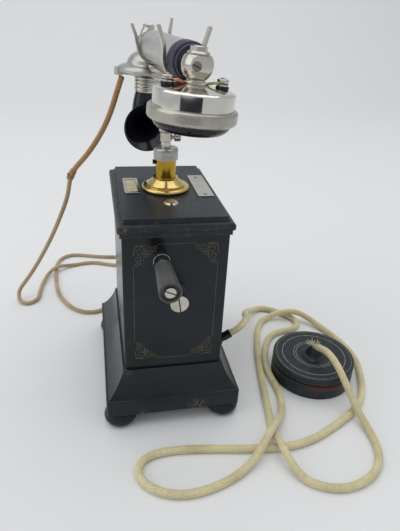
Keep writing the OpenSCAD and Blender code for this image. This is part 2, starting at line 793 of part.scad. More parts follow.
module handle_sleeve() {
    color(satin_nickel) on_handset() ring_y(handle_r, core_r, -receiver_reach + 34.5, sleeve_back);
}

// Turned hard rubber: rounded ribs before the sleeve, and a plain collar behind it
module handle_grip() {
    front = -receiver_reach + 12.5;
    back = -receiver_reach + 34.5;
    ribs = 7;
    pitch = (back - front) / ribs;
    color("#23212b") on_handset() {
        difference() {
            union() {
                rod_y(handle_r - 1, front, back);
                translate([0, front, 0]) rotate([-90, 0, 0]) rotate_extrude() intersection() {
                    union() for (k = [0:ribs - 1])
                        translate([handle_r - 1.2 - (k == 0 ? 1.4 : 0), pitch * (k + 0.5)])
                            circle(pitch / 2 - 0.15);
                    square([handle_r + 2, back - front]);
                }
            }
            rod_y(core_r, front - 1, back + 1);
        }
        ring_y(handle_r - 0.1, core_r, sleeve_back, collar_back);
    }
}

// The ball at the receiver's end, cut flat under its nut, with its stem into the handle and its seat
module front_knuckle() {
    color(nickel) on_handset() {
        translate([0, -receiver_reach, 0]) {
            difference() {
                sphere(knuckle_r);
                translate([0, 0, front_flat + knuckle_r]) cube(2 * knuckle_r, center = true);
                in_screw_pocket() cylinder(r = 2.6, h = 4);
            }
            rod_y(8.5, 8.6, 12.5);
            translate([0, 0, drum_top]) rotate_extrude()
                polygon([[0, 0], [8, 0], [8.6, 0.6], [8.6, 1.4], [8, 2], [6.5, 2.2], [6.5, 5], [0, 5]]);
        }
        rod_y(core_r, -receiver_reach + 10, -receiver_reach + 34);
    }
}

module rear_knuckle() {
    color(nickel) on_handset() {
        translate([0, transmitter_reach, 0]) difference() {
            sphere(knuckle_r);
            translate([0, 0, rear_flat + knuckle_r]) cube(2 * knuckle_r, center = true);
        }
        rod_y(8.5, collar_back, transmitter_reach - 8.6);
        rod_y(core_r, sleeve_back - 4, collar_back + 1);
    }
}

// Where the front ball's slotted screw lies: turned a little to one side
module in_screw_pocket() {
    rotate(-17) translate([0, -knuckle_r + 0.8, 0]) rotate([90, 20, 0]) children();
}

// On each ball a collar and a six-sided nut, a low one in front and a tall one behind, and the front screw
module knuckle_fasteners() {
    color(nickel) on_handset() {
        translate([0, -receiver_reach, front_flat]) {
            rotate_extrude() polygon([[0, 0], [7.6, 0], [8, 0.5], [8, 1.2], [6.6, 2.3], [0, 2.3]]);
            translate([0, 0, 2.2]) cylinder(r = 6.1, h = 2.8, $fn = 6);
            translate([0, 0, 4.9]) cylinder(r1 = 4.6, r2 = 4, h = 0.6);
        }
        translate([0, transmitter_reach, rear_flat]) {
            rotate_extrude() polygon([[0, 0], [7.7, 0], [8.2, 0.5], [8.2, 2.4], [7.7, 2.9], [6, 2.9],
                                      [6, 3.4], [7.6, 3.4], [7.5, 4.2], [5.2, 8.4], [0, 8.4]]);
            translate([0, 0, 8.3]) cylinder(r = 5.8, h = 2.2, $fn = 6);
            translate([0, 0, 10.4]) cylinder(r1 = 4.6, r2 = 3.8, h = 0.7);
        }
        translate([0, -receiver_reach, 0]) in_screw_pocket() slotted_head(2.5, 1.2, 0.8);
    }
}

// Outline of the receiver's drum: nearly flat, then a shallow cone
module drum_outline() {
    polygon([[0, drum_top], [9.4, drum_top], [10.2, drum_top - 0.5], [14, drum_top - 0.9],
             [26, drum_top - 2.6], [drum_r - 0.8, drum_top - 3.3], [drum_r, drum_top - 4.2],
             [drum_r, -30], [0, -30]]);
}

module receiver_case() {
    color(nickel) on_handset() translate([0, -receiver_reach, 0]) rotate_extrude() difference() {
        drum_outline();
        polygon([[-1, -14.6], [13, -14.6], [25, -16.8], [26.5, -17.4], [26.5, -31], [-1, -31]]);
    }
}

module receiver_ring() {
    low = -36.3;
    high = -26.3;
    color(nickel) on_handset() translate([0, -receiver_reach, 0]) rotate_extrude() difference() {
        polygon(concat([[20, low]], arc([receiver_r - 2.9, low + 2.9], 2.9, -90, 0, 8),
                       arc([receiver_r - 2.6, high - 2.6], 2.6, 0, 90, 8), [[20, high]]));
        translate([-1, -30]) square([drum_r + 1, 10]);
        translate([-1, -37]) square([29, 8]);
    }
}

// The ear cap, screwed into the ring: a deep rounded rim about a dish with a hole in its middle
module ear_cap() {
    color(ebonite) on_handset() translate([0, -receiver_reach, 0]) rotate_extrude() difference() {
        polygon([[0, -30.6], [27.8, -30.6], [27.8, -36.3], [28.4, -36.3], [27.6, -38.5], [26.6, -40],
                 [25, -41.5], [23.2, -42.7], [21, -43.2], [18.6, -43.1], [16, -42.4], [8, -40.6],
                 [0, -39.8]]);
        translate([-1, -34.4]) square([23, 4.4]);
        translate([-1, -45]) square([5.5, 20]);
    }
}

module diaphragm() {
    color("#55585e") on_handset() translate([0, -receiver_reach, -30.6]) cylinder(r = 27.8, h = 0.6);
}

// The ring magnet of the receiver and its two coils
module receiver_magnet() {
    color("#43454a") on_handset() translate([0, -receiver_reach, 0]) {
        difference() {
            translate([0, 0, -24]) cylinder(r = 24, h = 6);
            translate([0, 0, -25]) cylinder(r = 15, h = 8);
        }
        translate([-16, -5, -23]) cube([32, 10, 3]);
        translate([0, 0, -22]) cylinder(r = 4, h = 7.4);
        for (x = [-7, 7]) translate([x, 0, -29.6]) cylinder(r = 5, h = 7);
    }
}

// Two posts with insulating washers and thumb nuts, seated on the drum's cone, and their leads' ends
module receiver_terminals() {
    foot = drum_top - 2.5;
    on_handset() translate([0, -receiver_reach, 0]) for (side = [-1, 1]) {
        color(ebonite) difference() {
            translate([side * 19.5, 0, foot]) cylinder(r = 4.7, h = 2.6);
            rotate_extrude() drum_outline();
        }
        translate([side * 19.5, 0, foot + 2.6]) {
            color(nickel) cylinder(r = 4.1, h = 1.4);
            color(ebonite) translate([0, 0, 1.4]) cylinder(r = 3.9, h = 0.6);
            color(nickel) translate([0, 0, 2]) cylinder(r = 4.1, h = 2.6);
            color(copper) translate([0, 0, 1.6]) rotate([0, -90 * side, 0]) cylinder(r = 0.9, h = 6.4);
        }
    }
}

// The transmitter's bell-shaped cover, with the boss that the handset cord goes into
module transmitter_cap() {
    color(nickel) on_handset() translate([0, transmitter_reach, 0]) {
        rotate_extrude() difference() {
            polygon([[0, -8], [8.2, -8], [11.5, -9.5], [16.2, -12.9], [18.6, -16.5], [19.2, -19.5],
                     [20.6, -20.6], [25.5, -22.3], [27.6, -23.6], [transmitter_r, -25.2],
                     [transmitter_r, -28], [26.5, -29.5], [12.5, -29.5], [12.5, -31], [0, -31]]);
            polygon([[-1, -13.5], [12, -13.5], [16, -17.5], [17.2, -20.5], [24, -24.6], [25, -25.6],
                     [25, -27.6], [10, -27.6], [10, -32], [-1, -32]]);
            circle(knuckle_r);
        }
        difference() {
            union() {
                translate([-27.5, 0, -32]) cylinder(r = 4.3, h = 7.4);
                translate([-27.5, -4, -31]) cube([10, 8, 6.4]);
            }
            translate([0, 0, -29.4]) cylinder(r = 25.5, h = 7);
        }
    }
}

module transmitter_neck() {
    rings = 4;
    color(nickel) on_handset() translate([0, transmitter_reach, 0]) rotate_extrude() difference() {
        union() {
            translate([0, -45.6]) square([10.3, 14.6]);
            for (k = [0:rings - 1]) translate([10.1 - 0.2 * k, -32.8 - 3.5 * k]) circle(1.5);
            translate([0, -46]) square([10.5, 2]);
        }
        translate([-1, -47]) square([8.8, 20]);
    }
}

// Trumpet section of the horn, from the throat at z = 0 to the rim. Each row: part of the length, radius.
module horn_bell(length) {
    outside = [[0.05, 12.1], [0.25, 14], [0.45, 16.3], [0.65, 19.1], [0.82, 21.7], [0.92, horn_r],
               [1, horn_r]];
    inside = [[1, horn_r - 1.8], [0.88, 20.2], [0.7, 17.2], [0.5, 14.2], [0.26, 11.3], [0.04, 9.5]];
    rotate_extrude() polygon(concat(
        [[9.2, -0.3], [11.7, -0.3]], [for (p = outside) [p[1], p[0] * length]],
        [for (p = inside) [p[1], p[0] * length]]));
}

// The horn hangs down from the neck, bends forward and opens towards the front. Its rim clears the rear fork.
module mouthpiece_horn() {
    bend_r = 14;
    drop = 63.2;
    rim = transmitter_reach - rear_fork_reach - rear_fork_w / 2 - 1.2;
    color(ebonite) on_handset() translate([0, transmitter_reach, 0]) {
        rotate_extrude() polygon([[6.8, -46], [9.4, -46], [10.2, -50], [11.2, -56], [11.9, -drop],
                                  [9.4, -drop], [8.4, -56], [7.4, -50]]);
        translate([0, -bend_r, -drop]) rotate([90, 0, 90]) rotate([0, 0, -90]) rotate_extrude(angle = 90)
            translate([bend_r, 0]) difference() {
                circle(11.9);
                circle(9.4);
            }
        translate([0, -bend_r, -drop - bend_r]) rotate([90, 0, 0]) horn_bell(rim - bend_r);
    }
}

module carbon_capsule() {
    color("#b59a55") on_handset() translate([0, transmitter_reach, -27.6]) {
        cylinder(r = 21, h = 3.4);
        translate([0, 0, 3.3]) cylinder(r = 13, h = 4);
    }
}

// ---- rosette ----

// Turned wood with a hollow for the terminals
module rosette_base() {
    color(black_enamel) translate([rosette_at[0], rosette_at[1], 0]) rotate_extrude() difference() {
        union() {
            square([rosette_r - 1.5, 17]);
            translate([0, 1.5]) square([rosette_r, 14]);
            translate([rosette_r - 1.5, 1.5]) circle(1.5);
            translate([rosette_r - 1.5, 15.5]) circle(1.5);
        }
        translate([-1, 6]) square([35, 12]);
    }
}

module rosette_lid() {
    throat = 38;
    color(black_enamel) translate([rosette_at[0], rosette_at[1], 0]) rotate_extrude() difference() {
        union() {
            translate([0, 17]) square([rosette_r - 2, rosette_h - 17]);
            translate([0, 18.6]) square([rosette_r, rosette_h - 20.6]);
            translate([rosette_r - 2, rosette_h - 2]) circle(2);
            polygon([[0, rosette_h - 1], [14, rosette_h - 1], [13.6, rosette_h + 0.8], [9.5, rosette_h + 2],
                     [7, throat - 3], [6, throat - 0.8], [5, throat], [0, throat]]);
        }
        translate([-1, 16]) square([34, rosette_h - 20]);
    }
}

// ---- cords ----

module handset_cord() {
    color("#a9825a") cord_tube(handset_route, handset_cord_d, 8);
}

module line_cord() {
    color("#a79e67") cord_tube(line_route, line_cord_d, 10);
}

base_plate();
base_plinth();
feet();
case_body();
top_lid();
lid_screws();
label_frame();
label_card();
name_plate();
column_flange();
column_tube();
column_collar();
set_screw();
line_cord_gland();
handset_cord_gland();
crank_bushing();
magneto_plates();
magnets();
pole_pieces();
bell_gongs();
ringer_frame();
ringer_coils();
hook_switch();
induction_coil();
condenser();
terminal_strip();
clapper();
crank_shaft();
drive_gear();
crank_arm();
crank_screws();
crank_grip();
armature();
pinion();
hook_lever();
plunger_rod();
plunger_spring();
cradle_hub();
front_fork();
rear_fork();
thumb_screw();
handle_sleeve();
handle_grip();
front_knuckle();
rear_knuckle();
knuckle_fasteners();
receiver_case();
receiver_ring();
ear_cap();
diaphragm();
receiver_magnet();
receiver_terminals();
transmitter_cap();
transmitter_neck();
mouthpiece_horn();
carbon_capsule();
rosette_base();
rosette_lid();
handset_cord();
line_cord();
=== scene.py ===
import json
from math import cos, pi, radians, sin, sqrt

import bmesh
import bpy
import numpy as np
from mathutils import Matrix, Vector


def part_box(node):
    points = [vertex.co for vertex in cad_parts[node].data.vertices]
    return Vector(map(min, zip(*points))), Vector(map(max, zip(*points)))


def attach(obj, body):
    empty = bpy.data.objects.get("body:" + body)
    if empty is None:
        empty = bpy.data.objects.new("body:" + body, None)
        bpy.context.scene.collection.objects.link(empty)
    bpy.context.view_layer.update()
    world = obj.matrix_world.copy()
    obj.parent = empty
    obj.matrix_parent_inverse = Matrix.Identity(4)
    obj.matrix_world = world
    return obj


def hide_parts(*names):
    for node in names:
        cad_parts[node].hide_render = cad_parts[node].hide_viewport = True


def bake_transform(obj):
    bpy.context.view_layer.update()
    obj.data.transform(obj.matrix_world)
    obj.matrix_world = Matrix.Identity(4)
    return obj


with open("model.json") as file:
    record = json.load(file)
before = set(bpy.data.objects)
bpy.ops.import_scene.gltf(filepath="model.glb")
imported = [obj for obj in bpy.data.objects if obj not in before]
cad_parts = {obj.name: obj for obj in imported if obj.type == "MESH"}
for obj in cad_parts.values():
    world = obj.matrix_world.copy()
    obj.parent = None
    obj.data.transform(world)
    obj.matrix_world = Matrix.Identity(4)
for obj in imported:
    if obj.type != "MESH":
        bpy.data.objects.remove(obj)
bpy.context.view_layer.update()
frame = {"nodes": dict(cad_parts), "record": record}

SCENE = bpy.context.scene
MM = 0.001
BODY = {node: body for body, nodes in frame["record"]["behaviour"]["bodies"].items() for node in nodes}
SLOT = {part["node"]: part["material_slot"] for part in frame["record"]["subparts"]}


def link(obj):
    SCENE.collection.objects.link(obj)
    return obj


# ---------------------------------------------------------------- camera

def make_camera():
    """Stands a little left of the telephone's front, above it, and looks down at it with a small roll."""
    place = (-0.0624, -0.4349, 0.3673)
    yaw, pitch, roll = radians(12.98), radians(28.25), radians(3.23)
    forward = Vector((sin(yaw) * cos(pitch), cos(yaw) * cos(pitch), -sin(pitch)))
    level = Vector((cos(yaw), -sin(yaw), 0))
    upright = level.cross(forward)
    right = cos(roll) * level + sin(roll) * upright
    up = cos(roll) * upright - sin(roll) * level
    camera = link(bpy.data.objects.new("camera", bpy.data.cameras.new("camera")))
    turn = Matrix((right, up, -forward)).transposed().to_4x4()
    camera.matrix_world = Matrix.Translation(place) @ turn
    camera.data.sensor_width = 36
    camera.data.lens = 32.9
    camera.data.clip_start = 0.01
    SCENE.camera = camera


make_camera()


# ---------------------------------------------------------------- node trees

class Look:
    """A material under construction. Its methods add one shader node each and give back its output."""

    def __init__(self, name, **constants):
        self.material = bpy.data.materials.new(name)
        self.material.use_nodes = True
        self.tree = self.material.node_tree
        self.shader = self.tree.nodes["Principled BSDF"]
        for socket, value in constants.items():
            self.set(socket.replace("_", " "), value)
        self.place = self.tree.nodes.new("ShaderNodeTexCoord").outputs["Object"]

    def set(self, socket, value):
        names = {s.name.lower(): s for s in self.shader.inputs}
        self.join(value, names[socket.lower()])

    def join(self, value, socket):
        if isinstance(value, bpy.types.NodeSocket):
            self.tree.links.new(value, socket)
        elif isinstance(value, tuple) and len(value) == 3 and socket.type == "RGBA":
            socket.default_value = (*value, 1)
        else:
            socket.default_value = value

    def add(self, kind, inputs=(), output=0, **settings):
        node = self.tree.nodes.new("ShaderNode" + kind)
        for name, value in settings.items():
            setattr(node, name, value)
        for key, value in dict(inputs).items():
            self.join(value, node.inputs[key])
        return node.outputs[output]

    def noise(self, scale, detail=3.0, rough=0.55, place=None, distortion=0.0):
        return self.add("TexNoise", {"Vector": place or self.place, "Scale": scale, "Detail": detail,
                                     "Roughness": rough, "Distortion": distortion})

    def stretched(self, x, y, z, turn=(0, 0, 0)):
        return self.add("Mapping", {"Vector": self.place, "Scale": (x, y, z), "Rotation": turn})

    def maths(self, operation, a, b=0.0, c=0.0):
        return self.add("Math", {0: a, 1: b, 2: c}, operation=operation)

    def step(self, value, low, high):
        """0 below low, 1 above high and smooth between them."""
        return self.add("MapRange", {"Value": value, "From Min": low, "From Max": high},
                        interpolation_type="SMOOTHSTEP")

    def span(self, value, low, high):
        """Spreads 0 to 1 over low to high."""
        return self.add("MapRange", {"Value": value, "To Min": low, "To Max": high})

    def mix(self, factor, a, b, blend="MIX"):
        return self.add("Mix", {0: factor, 6: a, 7: b}, output=2, data_type="RGBA", blend_type=blend)

    def axis(self, name):
        return self.add("SeparateXYZ", {"Vector": self.place}, output=name)

    def apart(self, a, b):
        """How far two values are apart."""
        return self.maths("ABSOLUTE", self.maths("SUBTRACT", a, b))

    def inverse(self, value):
        """1 minus the value."""
        return self.maths("SUBTRACT", 1.0, value)

    def bump(self, height, strength, distance, normal=None):
        inputs = {"Height": height, "Strength": strength, "Distance": distance}
        if normal is not None:
            inputs["Normal"] = normal
        return self.add("Bump", inputs, output="Normal")

    def edges(self, radius, low, high):
        """1 on an outside or inside edge and 0 on open faces."""
        bevelled = self.add("Bevel", {"Radius": radius}, samples=4)
        face = self.add("NewGeometry", output="True Normal")
        same = self.add("VectorMath", {0: bevelled, 1: face}, output="Value", operation="DOT_PRODUCT")
        return self.step(self.inverse(same), low, high)

    def near(self, point, inner, outer):
        """1 within inner of a point and 0 beyond outer."""
        away = self.add("VectorMath", {0: self.place, 1: point}, output="Value", operation="DISTANCE")
        return self.inverse(self.step(away, inner, outer))

    def times(self, *values):
        result = values[0]
        for value in values[1:]:
            result = self.maths("MULTIPLY", result, value)
        return result

    def most(self, *values):
        result = values[0]
        for value in values[1:]:
            result = self.maths("MAXIMUM", result, value)
        return result


# ---------------------------------------------------------------- materials

def lacquer(name, spots=(), wear=1.0, paint=None, dustiness=0.08):
    """Black lacquer over wood: dusty, finely scratched, and rubbed to brown along its edges, with grey along
    the edges that is partly rubbed lacquer and partly painted highlight.
    spots are (point, inner radius, outer radius) of chipped places. paint adds a pattern to the black."""
    look = Look(name, Coat_Weight=0.06, Coat_Roughness=0.12, Specular_IOR_Level=0.34,
                Specular_Tint=(0.78, 0.92, 1.0))
    cloud = look.noise(14, 5, 0.6)
    dust = look.step(look.noise(160, 4, 0.7), 0.52, 0.78)
    chips = look.step(look.noise(420, 5, 0.65), 0.5, 0.58)
    patches = look.step(look.noise(38, 3, 0.6), 0.44, 0.66)
    edge = look.edges(0.9 * MM, 0.02, 0.16)
    worn = look.times(edge, look.most(look.times(chips, patches), look.times(patches, 0.35)), wear)
    for point, inner, outer in spots:
        worn = look.most(worn, look.times(look.near(point, inner, outer), chips, 0.9))
    grain = look.noise(60, 4, 0.6, look.stretched(1, 1, 0.1))
    wood = look.mix(look.step(grain, 0.35, 0.7), (0.13, 0.09, 0.06), (0.2, 0.165, 0.13))
    black = look.mix(look.step(cloud, 0.3, 0.7), (0.004, 0.0052, 0.007), (0.009, 0.0108, 0.0135))
    dust_and_edge_highlight = look.mix(look.times(look.maths("ADD", dust, 0.25), dustiness), black, (0.09, 0.1, 0.115))
    # The grey along the edges is partly rubbed lacquer and partly a painted highlight where the edges catch
    # the light
    rubbed = look.times(edge, look.step(look.noise(55, 4, 0.6), 0.3, 0.75), 0.8)
    dust_and_edge_highlight = look.mix(rubbed, dust_and_edge_highlight, (0.085, 0.088, 0.094))
    if paint is not None:
        dust_and_edge_highlight = paint(look, dust_and_edge_highlight)
    look.set("Base Color", look.mix(worn, dust_and_edge_highlight, wood))
    smears = look.noise(9, 4, 0.7, look.stretched(1, 1, 0.35))
    dull = dustiness * 0.35
    rough = look.span(smears, 0.16 + dull, 0.36 + dull)
    look.set("Roughness", look.maths("ADD", rough, look.times(worn, 0.4)))
    ripple = look.bump(look.noise(95, 2, 0.5), 0.06, 0.4 * MM)
    scratches = look.noise(520, 2, 0.6, look.stretched(0.06, 1, 1, (0.3, 0.2, 0.5)))
    fine = look.bump(look.step(scratches, 0.6, 0.75), 0.05, 0.1 * MM, ripple)
    look.set("Normal", look.bump(look.inverse(worn), 0.35, 0.12 * MM, fine))
    return look.material


def metal(name, light, dark, rough_low, rough_high, stain=(0.2, 0.16, 0.1), brushed=None):
    """Plated or bare metal with cloudy tarnish in its corners, rubs and hairline scratches.
    brushed stretches the hairlines by its three factors."""
    look = Look(name, Metallic=1.0)
    cloud = look.noise(34, 5, 0.65)
    base = look.mix(look.step(cloud, 0.3, 0.75), light, dark)
    corner = look.edges(1.6 * MM, 0.03, 0.3)
    specks = look.step(look.noise(240, 5, 0.7), 0.52, 0.68)
    clouded = look.step(look.noise(70, 3), 0.4, 0.7)
    tarnish = look.times(look.most(look.times(corner, 0.4), specks), clouded, 0.35)
    look.set("Base Color", look.mix(tarnish, base, stain))
    smear = look.noise(55, 4, 0.7, look.stretched(1, 0.6, 1.6))
    rough = look.span(smear, rough_low, rough_high)
    look.set("Roughness", look.maths("ADD", rough, look.times(tarnish, 0.3)))
    if brushed is None:
        hairs = look.noise(900, 2, 0.6, look.stretched(0.05, 1, 1, (0.4, 0.9, 0.2)))
        height = look.bump(look.step(hairs, 0.55, 0.8), 0.04, 0.05 * MM)
    else:
        hairs = look.noise(1500, 2, 0.7, look.stretched(*brushed))
        height = look.bump(hairs, 0.06, 0.05 * MM)
    look.set("Normal", look.bump(look.noise(130, 3), 0.03, 0.3 * MM, height))
    return look.material


def hard_rubber(name, light, dark, rough_low, rough_high, mottle):
    """Vulcanised rubber: near black, polished or satin, with brown bloom and fine pits."""
    look = Look(name, Specular_IOR_Level=0.38)
    cloud = look.noise(45, 5, 0.65, distortion=0.6)
    base = look.mix(look.step(cloud, 0.35, 0.7), dark, light)
    bloom = look.times(look.step(look.noise(170, 4, 0.7), 0.5, 0.75), mottle)
    look.set("Base Color", look.mix(bloom, base, (0.09, 0.075, 0.06)))
    look.set("Roughness", look.span(look.noise(80, 4, 0.7), rough_low, rough_high))
    pits = look.step(look.noise(900, 2, 0.5), 0.28, 0.4)
    look.set("Normal", look.bump(look.noise(300, 3), 0.04, 0.15 * MM, look.bump(pits, 0.05, 0.04 * MM)))
    return look.material


def braid(name, light, dark, dirt, strands, lay, upper=None):
    """Braided cotton. The mesh's relief attribute is 0 between the strands and 1 on them.
    upper is (height, light, dark): the cotton's tones above that height."""
    look = Look(name, Roughness=0.92, Sheen_Weight=0.35, Sheen_Roughness=0.5, Specular_IOR_Level=0.15)
    depth = look.add("Attribute", output="Fac", attribute_name="relief")
    uv = look.add("TexCoord", output="UV")
    threads = look.add("Mapping", {"Vector": uv, "Scale": (strands * 6, lay * 30, 1)})
    fibre = look.noise(1.0, 3, 0.7, threads)
    spotty = look.step(look.noise(30, 4, 0.7), 0.35, 0.72)
    fleck = look.step(look.noise(420, 3, 0.6), 0.35, 0.7)
    tone = look.maths("MULTIPLY_ADD", fibre, 0.5, look.times(fleck, 0.3))
    cotton = look.mix(tone, light, dark)
    if upper is not None:
        height, light_above, dark_above = upper
        above = look.step(look.axis("Z"), height - 0.002, height + 0.002)
        cotton = look.mix(above, cotton, look.mix(tone, light_above, dark_above))
    aged = look.mix(look.times(spotty, 0.55), cotton, dirt)
    # Painted shade: the cotton is darkened in the grooves between the strands
    painted_groove_shade = tuple(c * 0.42 for c in dark)
    look.set("Base Color", look.mix(look.inverse(look.step(depth, 0.0, 0.75)), aged, painted_groove_shade))
    look.set("Normal", look.bump(fibre, 0.35, 0.12 * MM, look.bump(look.noise(1600, 2), 0.2, 0.05 * MM)))
    return look.material


def plain(name, light, dark, rough, scale=60, relief=0.05):
    """A simple surface with two close tones, uneven gloss and a little grain."""
    look = Look(name)
    cloud = look.noise(scale, 4, 0.6)
    look.set("Base Color", look.mix(look.step(cloud, 0.3, 0.7), light, dark))
    look.set("Roughness", look.span(look.noise(scale * 2, 3), rough - 0.08, rough + 0.08))
    look.set("Normal", look.bump(look.noise(scale * 8, 3), relief, 0.1 * MM))
    return look.material


def windings(name, light, dark):
    """Silk or cotton covered wire, wound in close turns."""
    look = Look(name, Roughness=0.7, Sheen_Weight=0.2)
    turn = look.maths("PINGPONG", look.maths("MULTIPLY", look.axis("X"), 1400), 0.5)
    look.set("Base Color", look.mix(look.step(turn, 0.05, 0.4), dark, light))
    look.set("Normal", look.bump(turn, 0.5, 0.25 * MM))
    return look.material


def ruled_card(name, low, high):
    """An aged ivory card with faint ruled lines and no writing."""
    look = Look(name, Roughness=0.6)
    cloud = look.noise(90, 4, 0.6)
    paper = look.mix(look.step(cloud, 0.35, 0.7), (0.6, 0.55, 0.39), (0.44, 0.39, 0.25))
    lines_per_metre = 170
    rows = look.maths("FRACT", look.times(look.maths("SUBTRACT", look.axis("Y"), low.y), lines_per_metre))
    line = look.step(look.apart(rows, 0.5), 0.44, 0.48)
    margin = look.step(look.apart(look.axis("X"), (low.x + high.x) / 2), 3.2 * MM, 3.6 * MM)
    ink = look.times(line, look.inverse(margin), 0.5)
    look.set("Base Color", look.mix(ink, paper, (0.12, 0.1, 0.07)))
    look.set("Normal", look.bump(look.noise(700, 3), 0.1, 0.05 * MM))
    return look.material


def worn_gold(name):
    """Thin bronze paint, rubbed through in places to the black below."""
    look = Look(name, Metallic=0.2, Roughness=0.5)
    tone = look.mix(look.step(look.noise(200, 3), 0.35, 0.7), (0.16, 0.12, 0.062), (0.09, 0.07, 0.04))
    rubbed = look.step(look.noise(260, 5, 0.7), 0.55, 0.66)
    look.set("Base Color", look.mix(look.times(rubbed, 0.75), tone, (0.012, 0.013, 0.015)))
    return look.material


def rosette_paint(centre, rim):
    """Pale gold rings on the rosette's lid, and a red-brown patch on its seam at the front."""
    # Each ring's radius as a share of the rim, and its width
    ring_places = ((0.44, 0.0003), (0.5, 0.0003), (0.775, 0.00036), (0.925, 0.0002))

    def paint(look, under):
        flat = look.add("VectorMath", {0: look.place, 1: (1, 1, 0)}, operation="MULTIPLY")
        out = look.add("VectorMath", {0: flat, 1: (*centre, 0)}, output="Value", operation="DISTANCE")
        out = look.maths("ADD", out, look.times(look.maths("SUBTRACT", look.noise(30, 2), 0.5), 0.6 * MM))
        height = look.axis("Z")
        rings = look.most(*(look.inverse(look.step(look.apart(out, share * rim), width * 0.6, width))
                            for share, width in ring_places))
        kept = look.inverse(look.times(look.step(look.noise(320, 4, 0.7), 0.52, 0.62), 0.7))
        on_top = look.step(height, 24.5 * MM, 25.2 * MM)
        gilt = look.mix(look.times(rings, on_top, kept), under, (0.4, 0.37, 0.29))
        above_base = look.step(height, 11 * MM, 11.5 * MM)
        seam = look.times(above_base, look.inverse(look.step(height, 18.5 * MM, 20.5 * MM)))
        front = (centre[0] + 4 * MM, centre[1] - rim, 14.2 * MM)
        patch = look.times(look.near(front, 18 * MM, 34 * MM), look.span(look.noise(60, 4, 0.6), 0.5, 1.0))
        return look.mix(look.times(seam, patch, 0.85), gilt, (0.1, 0.02, 0.014))
    return paint


# ---------------------------------------------------------------- mesh building

def mesh_object(name, points, faces, material, smooth=40):
    mesh = bpy.data.meshes.new(name)
    mesh.from_pydata([tuple(p) for p in points], [], [tuple(f) for f in faces])
    mesh.validate()
    mesh.shade_smooth()
    mesh.set_sharp_from_angle(angle=radians(smooth))
    mesh.materials.append(material)
    return link(bpy.data.objects.new(name, mesh))


def curve_through(points, step):
    """Evenly spaced points on the smooth curve through a route's own points."""
    p = np.array(points, float)
    gap = np.linalg.norm(np.diff(p, axis=0), axis=1) ** 0.5
    at = np.concatenate([[0], np.cumsum(gap)])
    n = len(p)
    left, right = np.eye(n), np.zeros((n, 3))
    for i in range(1, n - 1):
        left[i, i - 1: i + 2] = gap[i - 1], 2 * (gap[i - 1] + gap[i]), gap[i]
        right[i] = 6 * ((p[i + 1] - p[i]) / gap[i] - (p[i] - p[i - 1]) / gap[i - 1])
    bend = np.linalg.solve(left, right)
    u = np.linspace(0, at[-1], 60 * n)
    i = np.clip(np.searchsorted(at, u, side="right") - 1, 0, n - 2)
    h = gap[i][:, None]
    a = (at[i + 1] - u)[:, None] / h
    b = 1 - a
    line = a * p[i] + b * p[i + 1] + ((a ** 3 - a) * bend[i] + (b ** 3 - b) * bend[i + 1]) * h * h / 6
    along = np.concatenate([[0], np.cumsum(np.linalg.norm(np.diff(line, axis=0), axis=1))])
    even = np.linspace(0, along[-1], max(2, round(along[-1] / step) + 1))
    return np.stack([np.interp(even, along, line[:, k]) for k in range(3)], axis=1)


def frames_along(line):
    """Two directions square to the line at each of its points, carried along it without twisting."""
    heading = np.gradient(line, axis=0)
    heading /= np.linalg.norm(heading, axis=1)[:, None]
    side = np.zeros_like(line)
    last = np.cross(heading[0], (0, 0, 1) if abs(heading[0][2]) < 0.9 else (0, 1, 0))
    for i, h in enumerate(heading):
        last = last - h * (last @ h)
        last /= np.linalg.norm(last)
        side[i] = last
    return side, np.cross(heading, side)


def ring_faces(rings, sides, closed=False):
    faces = []
    for i in range(rings - 1):
        for j in range(sides):
            k = (j + 1) % sides
            faces.append((i * sides + j, i * sides + k, (i + 1) * sides + k, (i + 1) * sides + j))
    if closed:
        faces.append(tuple(range(sides - 1, -1, -1)))
        faces.append(tuple((rings - 1) * sides + j for j in range(sides)))
    return faces


def tube(name, line, radii, sides, material):
    """A tube along a line, with one radius or one for each of the line's points."""
    line = np.array(line, float)
    radii = np.broadcast_to(radii, len(line))
    side, up = frames_along(line)
    turn = np.arange(sides) * 2 * pi / sides
    rings = [line[i] + radii[i] * (np.outer(np.cos(turn), side[i]) + np.outer(np.sin(turn), up[i]))
             for i in range(len(line))]
    return mesh_object(name, np.concatenate(rings), ring_faces(len(line), sides, closed=True), material)


def lathe(name, profile, material, sides, matrix, smooth=32):
    """Turns a profile of (radius, height) points about Z, then places it. A radius of 0 closes it."""
    points, faces, rows = [], [], []
    for r, z in profile:
        if r < 1e-7:
            rows.append([len(points)] * sides)
            points.append((0, 0, z))
        else:
            rows.append(list(range(len(points), len(points) + sides)))
            points += [(r * cos(2 * pi * j / sides), r * sin(2 * pi * j / sides), z) for j in range(sides)]
    for low, high in zip(rows, rows[1:]):
        for j in range(sides):
            k = (j + 1) % sides
            corner = [low[j], low[k], high[k], high[j]]
            kept = [v for n, v in enumerate(corner) if v != corner[n - 1]]
            if len(kept) > 2:
                faces.append(kept)
    obj = mesh_object(name, points, faces, material, smooth)
    obj.data.transform(matrix)
    return obj


def rounded(points, radius):
    """The same profile with its inner corners rounded by small arcs."""
    steps = 4
    out = [points[0]]
    for before, here, after in zip(points, points[1:], points[2:]):
        here = Vector(here)
        back, ahead = Vector(before) - here, Vector(after) - here
        cut = min(radius, back.length * 0.45, ahead.length * 0.45)
        start, end = here + back.normalized() * cut, here + ahead.normalized() * cut
        for k in range(steps + 1):
            t = k / steps
            out.append(tuple((1 - t) ** 2 * start + 2 * t * (1 - t) * here + t * t * end))
    return out + [points[-1]]


